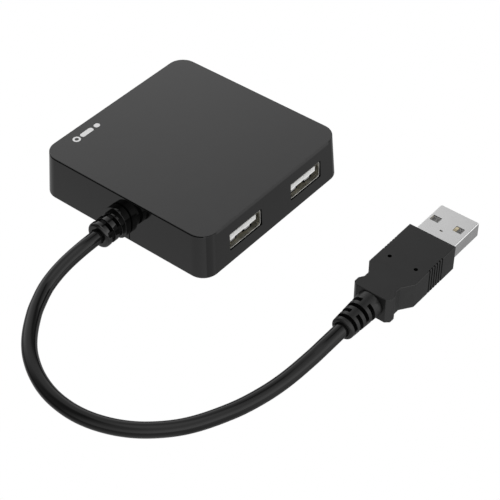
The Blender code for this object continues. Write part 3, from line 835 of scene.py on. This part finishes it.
def port_shell(mats):
    """The folded shell, its inside given a darker, olive copy of the metal as painted shade and painted
    reflection; its front leans with the wall.
    """
    lift = Matrix.Translation((0, 0, SHELL_H / 2))
    loops = sheet_loops(SHELL_W, SHELL_H, SHELL_T, SHELL_BEND, -SHELL_L, 0.0)
    shell = ring_body("port shell", loops, mats["shell"], lift)
    shell.data.materials.append(mats["inner"])
    half_w, half_h = SHELL_W / 2, SHELL_H / 2
    # the inside faces get the painted shade copy of the metal
    for face in shell.data.polygons:
        away = max(abs(face.center.y) / half_w, abs(face.center.z - half_h) / half_h)
        if abs(face.normal.x) < 0.3 and away < 1 - 0.9 * SHELL_T / half_w:
            face.material_index = 1
    for vertex in shell.data.vertices:
        if vertex.co.x > -MM:
            vertex.co.x += FRONT_LEAN * (half_h - vertex.co.z)
    return shell


def port_tabs(shell, material):
    """Cuts the shell open for its four sprung tabs and returns the tabs, bowed inwards."""
    tabs = []
    for z, away in ((0.0, 1), (SHELL_H, -1)):
        for y in (-TAB_Y, TAB_Y):
            boolean(shell, box("slit", SLIT, (SLIT_X, y, z)))
            path = []
            for k in range(13):
                t = k / 12
                rise = TAB_RISE * math.sin(math.pi * min(t * 1.25, 1.0))
                path.append((TAB_X + TAB_L * t, z + away * (TAB_SEAT + rise) - TAB_SEAT))
            tabs.append(strip("tab", path, TAB_W, SHELL_T, y, material))
    return tabs


def port_insulator(material):
    """The block at the back of the port with the tongue and its two teeth, in one moulding."""
    seat = SHELL_T + BLOCK_GAP
    middle = BLOCK_BACK + BLOCK_L / 2
    block = box(
        "port insulator",
        (BLOCK_L, SHELL_W - 2 * seat, SHELL_H - 2 * seat),
        (middle, 0, SHELL_H / 2),
        BLOCK_ROUND,
        material,
    )
    tongue = box(
        "tongue",
        (TONGUE_X - middle, TONGUE_W, TONGUE_T),
        ((TONGUE_X + middle) / 2, TONGUE_Y, TONGUE_Z + TONGUE_T / 2),
        TONGUE_ROUND,
        segments=3,
    )
    boolean(block, tongue, "UNION")
    for y, width in TEETH:
        size = (TOOTH_L, width, 2 * TOOTH_DROP)
        tooth = box("tooth", size, (TONGUE_X - TOOTH_BACK, y, TONGUE_Z), TOOTH_ROUND)
        boolean(block, tooth, "UNION")
    return block


def port_shade_boxes(material):
    """Black boxes of painted shadow, where the openings beside and under the tongue's teeth lie in
    shade.
    """
    shade_boxes = []
    for y, width, drop, height in SHADE_BOXES:
        centre = (TONGUE_X - SHADE_BOX_BACK, y, TONGUE_Z - drop)
        shade_boxes.append(box("slot", (SHADE_BOX_L, width, height), centre, SHADE_BOX_ROUND, material))
    return shade_boxes


def port_springs(material):
    """The four contacts under the tongue, bowed downwards."""
    springs = []
    for y in CONTACTS:
        path = [SPRING_ROOT]
        for k in range(9):
            t = k / 8
            drop = SPRING_DROP + SPRING_BOW * math.sin(math.pi * t)
            path.append((SPRING_X + SPRING_L * t, TONGUE_Z - drop))
        springs.append(strip("spring", path, SPRING_W, SPRING_T, y, material))
    return springs


def build_port(number, place, mats):
    """One receptacle: shell, moulding, contacts and black boxes of painted shadow, moved to its place.
    """
    shell = port_shell(mats)
    tabs = port_tabs(shell, mats["shell"])
    block = port_insulator(mats["tongue"])
    shade_boxes = port_shade_boxes(mats["painted_shade"])
    springs = port_springs(mats["gold"])
    shell = join(f"port_{number}_shell", [shell] + tabs)
    springs = join(f"port_{number}_contacts", springs)
    shade_boxes = join(f"port_{number}_painted_shade_boxes", shade_boxes)
    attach(shade_boxes, "root")
    block.name = f"port_{number}_insulator"
    for obj in (shell, block, springs, shade_boxes):
        obj.data.transform(place)
        smooth(obj)
    show(shell, [f"receptacle_shell_{number}"])
    show(block, [f"receptacle_insulator_{number}"])
    show(springs, [f"receptacle_{number}_contact_{k}" for k in (1, 2, 3, 4)])


# ---------------------------------------------------------------- strain reliefs


def boot_profile(length, tip, root, rounding, gaps=(), step=0.0):
    """Outline of a tapered strain relief: bore, rounded tip, shallow steps and root."""
    profile = [(0.0, length - BORE_DEPTH), (BORE, length - BORE_DEPTH), (BORE, length)]
    profile += reversed(arc(rounding, tip - rounding, length - rounding, 0, 90, 8))
    for first, last in gaps:
        profile += [(tip, last + STEP_ROUND), (tip - STEP_ROUND, last), (tip - step, last)]
        profile += [(tip - step, first), (tip - STEP_ROUND, first), (tip, first - STEP_ROUND)]
    return profile + [(root, 0.0), (0.0, 0.0)]


def cut_slot(target, centre, low, high, first, last):
    """Cuts one slot round the axis, from one angle to another, down to the core."""
    outline = [(centre[0], centre[2])]
    outline += arc(CUT_REACH, centre[0], centre[2], first, last, 24)
    cutter = prism("slot", outline, low, high, "y")
    profile = [(0, CORE_CUT), (CORE, CORE_CUT), (CORE, 0), (0, 0)]
    boolean(cutter, turned("core", profile, (centre[0], high + MM, centre[2]), segments=64))
    boolean(target, cutter)


def darken_gaps(boot, material, centre, radius, low, high):
    """Gives the unlit faces inside the gaps their own darker material."""
    boot.data.materials.append(material)
    for face in boot.data.polygons:
        reach = math.hypot(face.center.x - centre[0], face.center.z - centre[2])
        if reach < radius - GAP_SHADE and low - 1e-6 < face.center.y < high + 1e-6:
            face.material_index = 1


def build_hub_boot(mats):
    centre = (0.0, HUB_BOOT_Y, EXIT_Z)
    gaps = [(HUB_BOOT_Y - high, HUB_BOOT_Y - low) for low, high in reversed(HUB_GAPS)]
    profile = boot_profile(
        HUB_BOOT_L, HUB_BOOT_R, HUB_BOOT_R, HUB_TIP_ROUND, gaps, HUB_GAP_STEP
    )
    boot = turned("hub_boot", profile, centre, mats["hub boot"], 96)
    flange = prism("flange", stadium(*FLANGE), FLANGE_BACK, FLANGE_FRONT, "y", rim=FLANGE_ROUND)
    for vertex in flange.data.vertices:
        if vertex.co.y > FLANGE_BACK - 0.5 * MM:
            vertex.co.y = wall_y(vertex.co.z) - FLANGE_SEAT
    boolean(boot, flange, "UNION")
    boolean(boot, prism("neck", arch(*NECK), *NECK_ENDS, "y"), "UNION")
    for low, high in HUB_GAPS:
        for first, last in HUB_SLOTS:
            cut_slot(boot, centre, low, high, first, last)
    darken_gaps(boot, mats["gap"], centre, HUB_BOOT_R, HUB_GAPS[1][0], HUB_GAPS[0][1])
    smooth(boot)
    return show(boot, ["hub_strain_relief"])


def build_plug_boot(mats):
    """Four gaps, bridged in turn above and below the core and on its two sides."""
    profile = boot_profile(PLUG_BOOT_L, PLUG_BOOT_TIP, PLUG_BOOT_ROOT, PLUG_TIP_ROUND)
    boot = turned("plug_boot", profile, PLUG_BOOT, mats["boot"], 96)
    for index, middle in enumerate(PLUG_GAPS):
        bridge = PLUG_TURN + (90 if index % 2 == 0 else 0)
        for side in (bridge, bridge + 180):
            first, last = side + BRIDGE_HALF, side + 180 - BRIDGE_HALF
            low, high = middle - PLUG_GAP_HALF, middle + PLUG_GAP_HALF
            cut_slot(boot, PLUG_BOOT, low, high, first, last)
    darken_gaps(boot, mats["gap"], PLUG_BOOT, PLUG_BOOT_TIP, *PLUG_GAP_ENDS)
    smooth(boot)
    return show(boot, ["plug_strain_relief"])


# ---------------------------------------------------------------- plug


def cut_dimple(body, side):
    """Sinks one small round dimple in the grip's upper face."""
    profile = [
        (0, DIMPLE_DEPTH),
        (0.5 * MM, 0.8 * MM),
        (DIMPLE_R, 0.0),
        (DIMPLE_R, -0.5 * MM),
        (0, -0.5 * MM),
    ]
    dimple = turned("dimple", profile, (0, 0, 0), segments=28)
    x, y = DIMPLE_AT
    place = Matrix.Translation(PLUG + Vector((side * x, y, GRIP_HIGH / MM)) * MM)
    dimple.data.transform(place @ Matrix.Rotation(math.pi / 2, 4, "X"))
    boolean(body, dimple)


def shade_grip(body, mats):
    """Gives the waist's sloping faces a lighter copy of the grip material as painted light, and the
    dimples a near-black one as painted shade.
    """
    body.data.materials.append(mats["waist_painted_light"])
    body.data.materials.append(mats["painted_shade"])
    for face in body.data.polygons:
        x, y, z = face.center - PLUG
        reach = math.hypot(abs(x) - DIMPLE_AT[0] * MM, y - DIMPLE_AT[1] * MM)
        # the dimples get the near-black painted shade
        if reach < DIMPLE_R + 0.04 * MM and 2 * MM < z < GRIP_HIGH - 0.01 * MM:
            face.material_index = 2
        elif face.normal.y < -0.3 and abs(face.normal.x) > 0.5:
            face.material_index = 1


def build_grip(mats):
    outline = [(a * MM, b * MM) for a, b in GRIP_HALF]
    outline += [(-a, b) for a, b in reversed(outline)]
    body = prism(
        "plug_grip",
        outline,
        -GRIP_HIGH,
        GRIP_HIGH,
        "z",
        mats["grip"],
        GRIP_CORNER,
        GRIP_RIM,
        Matrix.Translation(PLUG),
    )
    x, y = GRIP_CUT_AT
    for side in (1, -1):
        for k in range(GRIP_CUTS):
            centre = PLUG + Vector((side * x, y + GRIP_CUT_PITCH * k, 0)) * MM
            boolean(body, box("grip cut", GRIP_CUT, centre, GRIP_CUT_ROUND))
        cut_dimple(body, side)
    shade_grip(body, mats)
    smooth(body)
    return show(body, ["plug_overmould"])


def build_plug_shell(mats):
    swap_xy = Matrix(((0, 1, 0, 0), (1, 0, 0, 0), (0, 0, 1, 0), (0, 0, 0, 1)))
    loops = sheet_loops(PLUG_W, PLUG_H, PLUG_T, PLUG_BEND, PLUG_BACK, PLUG_FRONT)
    shell = ring_body("plug_metal", loops, mats["plug"], Matrix.Translation(PLUG) @ swap_xy)
    shell.data.flip_normals()
    for x in HOLES_X:
        centre = PLUG + Vector((x, HOLES_Y, 0)) * MM
        boolean(shell, box("hole", HOLE, centre, HOLE_ROUND))
    boolean(shell, box("dent", DENT, PLUG + Vector(DENT_AT) * MM, DENT_ROUND))
    smooth(shell)
    return show(shell, ["plug_shell"])


def build_plug_inside(mats):
    middle = (PLUG_BLOCK_LOW + PLUG_BLOCK_HIGH) / 2
    block = box(
        "plug_block",
        (PLUG_BLOCK_W, PLUG_BLOCK_L, PLUG_BLOCK_HIGH - PLUG_BLOCK_LOW),
        PLUG + Vector((0, PLUG_BLOCK_Y, middle)),
        PLUG_BLOCK_ROUND,
        mats["dark"],
    )
    bars = []
    for x, length in zip(CONTACTS, BAR_LENGTHS):
        y = (BAR_TIP - length / 2) * MM
        centre = PLUG + Vector((x, y, PLUG_BLOCK_HIGH + BAR_PROUD))
        bars.append(box("bar", (BAR_W, length * MM, BAR_T), centre, BAR_ROUND, mats["gold"]))
    contacts = join("plug_bars", bars)
    smooth(block)
    smooth(contacts)
    show(block, ["plug_insulator"])
    show(contacts, [f"plug_contact_{k}" for k in (1, 2, 3, 4)])
    return [block, contacts]


# ---------------------------------------------------------------- cable


def smooth_route():
    """Points of a smooth curve through the route's knots."""
    knots = [Vector(point) * MM for point in ROUTE]
    points = [knots[0]]
    for i in range(len(knots) - 1):
        before = knots[max(i - 1, 0)]
        after = knots[min(i + 2, len(knots) - 1)]
        a, b = knots[i], knots[i + 1]
        reach = (b - a).length / 3
        first = (b - before).normalized() * reach
        last = (after - a).normalized() * reach
        points.extend(interpolate_bezier(a, a + first, b - last, b, ROUTE_STEPS)[1:])
    return points


def build_cable(mats):
    curve = bpy.data.curves.new("cable", "CURVE")
    curve.dimensions = "3D"
    curve.bevel_depth = CABLE_D / 2
    curve.bevel_resolution = 10
    curve.use_fill_caps = True
    points = smooth_route()
    spline = curve.splines.new("POLY")
    spline.points.add(len(points) - 1)
    for slot, point in zip(spline.points, points):
        slot.co = (*point, 1.0)
    spline.use_smooth = True
    curve.materials.append(mats["sheath"])
    cable = bpy.data.objects.new("cable_cord", curve)
    bpy.context.scene.collection.objects.link(cable)
    return show(cable, ["cable"])


# ---------------------------------------------------------------- carried CAD nodes


def paint_cad_nodes(mats):
    """The board, what is on it and the wires stay as CAD nodes and get procedural materials."""
    choice = {
        "circuit_board": "board",
        "controller_chip": "chip",
        "crystal": "can",
        "electrolytic_capacitor": "can",
        "wire_red": "red",
        "wire_white": "white",
        "wire_green": "green",
        "wire_black": "black",
    }
    for name in ("capacitor_1", "capacitor_2", "capacitor_3", "capacitor_4"):
        choice[name] = "ceramic"
    for name, key in choice.items():
        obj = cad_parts[name]
        obj.data.materials.clear()
        obj.data.materials.append(mats[key])


# ---------------------------------------------------------------- studio


# Light levels by azimuth or elevation in degrees; azimuth 0 is +X and 90 is +Y.
BRIGHTEST = 2.0
NEAR_GROUND = (
    (-180, 0.50), (-128, 0.53), (-70, 0.72), (-48, 0.80), (-31, 0.80), (-28, 0.52),
    (8, 0.52), (20, 0.60), (40, 0.40), (54, 0.34), (64, 0.22), (90, 0.3), (120, 0.35), (180, 0.50),
)
FAR_GROUND = (
    (-180, 0.3), (-150, 0.12), (-125, 0.12), (-90, 0.4), (-40, 0.7), (0, 0.9), (36, 1.3), (50, 1.1),
    (70, 0.6), (130, 0.38), (150, 0.38), (180, 0.3),
)
SOFT_BOXES = (
    (-180, 0.9), (-155, 0.2), (-125, 0.2), (-95, 0.9), (-70, 1.1), (-40, 1.6), (36, 1.6), (46, 1.3),
    (58, 1.0), (70, 0.85), (77, 0.7), (84, 0.2), (98, 0.12), (106, 0.3), (114, 0.7), (125, 0.97),
    (132, 1.12), (150, 1.22), (180, 1.1),
)
SOFT_FALL = (
    (0, 1.2), (15, 1.35), (30, 1.25), (36, 1.06), (38.5, 1.0), (42, 0.88), (55, 0.8), (75, 0.85),
    (90, 0.85),
)
# Where one set of levels gives way to the next, by elevation
NEAR_TO_FAR = ((-36, 0), (-12, 1))
GROUND_TO_BOXES = ((0, 0), (5, 1))
BOXES_TO_ZENITH = ((66, 0), (80, 1))


def by_azimuth(levels):
    return [(azimuth / 360 + 0.5, level / BRIGHTEST) for azimuth, level in levels]


def by_elevation(levels):
    return [(math.sin(math.radians(elevation)) / 2 + 0.5, level) for elevation, level in levels]


def build_world():
    """Two soft boxes with gaps between them, over a ground lit by direction and distance."""
    world = bpy.data.worlds.new("studio")
    bpy.context.scene.world = world
    world.use_nodes = True
    tree = world.node_tree
    tree.nodes.clear()
    place = tree.nodes.new("ShaderNodeTexCoord").outputs["Generated"]
    split = tree.nodes.new("ShaderNodeSeparateXYZ")
    tree.links.new(place, split.inputs[0])
    x, y, z = split.outputs
    turn = math_node(tree, "ARCTAN2", y, x)
    turn = math_node(tree, "MULTIPLY_ADD", turn, 1 / math.tau, 0.5)
    height = math_node(tree, "MULTIPLY_ADD", z, 0.5, 0.5)
    near = ramp(tree, turn, by_azimuth(NEAR_GROUND))
    far = ramp(tree, turn, by_azimuth(FAR_GROUND))
    ground = blend(tree, ramp(tree, height, by_elevation(NEAR_TO_FAR)), near, far)
    boxes = ramp(tree, turn, by_azimuth(SOFT_BOXES))
    fall = ramp(tree, height, by_elevation(SOFT_FALL))
    zenith = ramp(tree, height, by_elevation(BOXES_TO_ZENITH))
    tent = blend(tree, zenith, blend(tree, None, boxes, fall, "MULTIPLY"), fall)
    above = ramp(tree, height, by_elevation(GROUND_TO_BOXES))
    studio = tree.nodes.new("ShaderNodeBackground")
    studio.inputs["Strength"].default_value = BRIGHTEST
    tree.links.new(blend(tree, above, ground, tent), studio.inputs["Color"])
    plain = tree.nodes.new("ShaderNodeBackground")
    plain.inputs["Color"].default_value = (1, 1, 1, 1)
    seen = tree.nodes.new("ShaderNodeMixShader")
    tree.links.new(tree.nodes.new("ShaderNodeLightPath").outputs["Is Camera Ray"], seen.inputs[0])
    tree.links.new(studio.outputs[0], seen.inputs[1])
    tree.links.new(plain.outputs[0], seen.inputs[2])
    out = tree.nodes.new("ShaderNodeOutputWorld")
    tree.links.new(seen.outputs[0], out.inputs[0])


def build_floor():
    """A plain white ground that the camera sees; the world below it lights the object."""
    work = bmesh.new()
    bmesh.ops.create_grid(work, x_segments=1, y_segments=1, size=FLOOR_SIZE)
    material = bpy.data.materials.new("white ground")
    material.use_nodes = True
    tree = material.node_tree
    tree.nodes.clear()
    glow = tree.nodes.new("ShaderNodeEmission")
    glow.inputs["Color"].default_value = (1, 1, 1, 1)
    glow.inputs["Strength"].default_value = 1.0
    out = tree.nodes.new("ShaderNodeOutputMaterial")
    tree.links.new(glow.outputs[0], out.inputs[0])
    floor = make_object("floor", work, material, Matrix.Translation((0, 0, FLOOR_Z)))
    floor.visible_diffuse = False
    floor.visible_glossy = False
    floor.visible_transmission = False
    floor.visible_shadow = False


def build_camera():
    camera = bpy.data.objects.new("camera", bpy.data.cameras.new("camera"))
    bpy.context.scene.collection.objects.link(camera)
    camera.data.sensor_width = SENSOR
    camera.data.lens = LENS
    camera.data.clip_start = CLIP_START
    azimuth, elevation = math.radians(CAMERA_AZIMUTH), math.radians(CAMERA_ELEVATION)
    back = Vector(
        (
            math.cos(elevation) * math.sin(azimuth),
            -math.cos(elevation) * math.cos(azimuth),
            math.sin(elevation),
        )
    )
    camera.location = CAMERA_AIM + back * CAMERA_DISTANCE
    camera.rotation_mode = "QUATERNION"
    camera.rotation_quaternion = (-back).to_track_quat("-Z", "Y")
    bpy.context.scene.camera = camera


def main():
    scene = bpy.context.scene
    scene.view_settings.view_transform = "Standard"
    scene.view_settings.look = "None"
    mats = make_materials()
    build_frame(mats)
    build_cover(mats)
    build_base(mats)
    build_mark(mats)
    for number, place in port_places():
        build_port(number, place, mats)
    hub_boot = build_hub_boot(mats)
    cable = build_cable(mats)
    on_cord = [hub_boot, build_plug_boot(mats), build_grip(mats), build_plug_shell(mats)]
    on_cord += build_plug_inside(mats)
    paint_cad_nodes(mats)
    build_floor()
    build_world()
    build_camera()


main()
